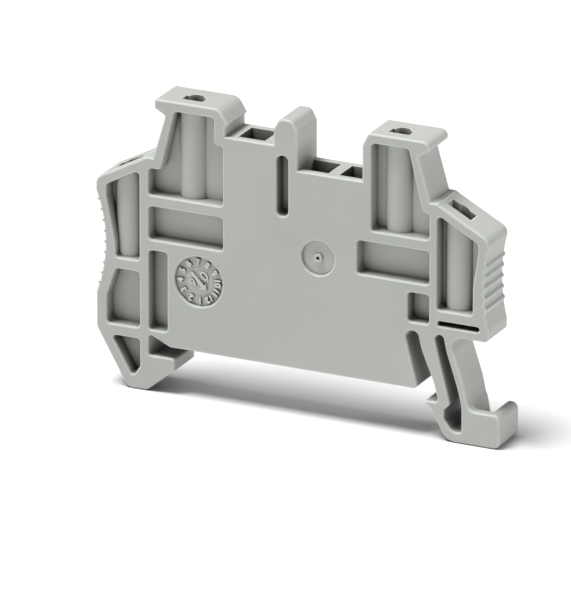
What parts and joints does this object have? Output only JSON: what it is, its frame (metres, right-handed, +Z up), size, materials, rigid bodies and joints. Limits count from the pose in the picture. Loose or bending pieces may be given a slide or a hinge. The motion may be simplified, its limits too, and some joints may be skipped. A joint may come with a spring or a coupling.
{
  "type": "din rail end stop",
  "caption": "Flat moulded end stop for a row of terminal blocks: snaps over 35 mm mounting rail with a fixed hook and a sprung arm, with marker towers and shoulders on top",
  "frame": {"origin": "middle of the seat that rests on the rail, at half the thickness", "axes": "+X across the rail towards the sprung arm, +Y along the rail, +Z up and away from the rail"},
  "size_m": [0.0504, 0.0052, 0.0353],
  "materials": {
    "polyamide": "fine satin grain, as moulded"
  },
  "bodies": {
    "root": {"end_stop": "polyamide"}
  },
  "joints": []
}
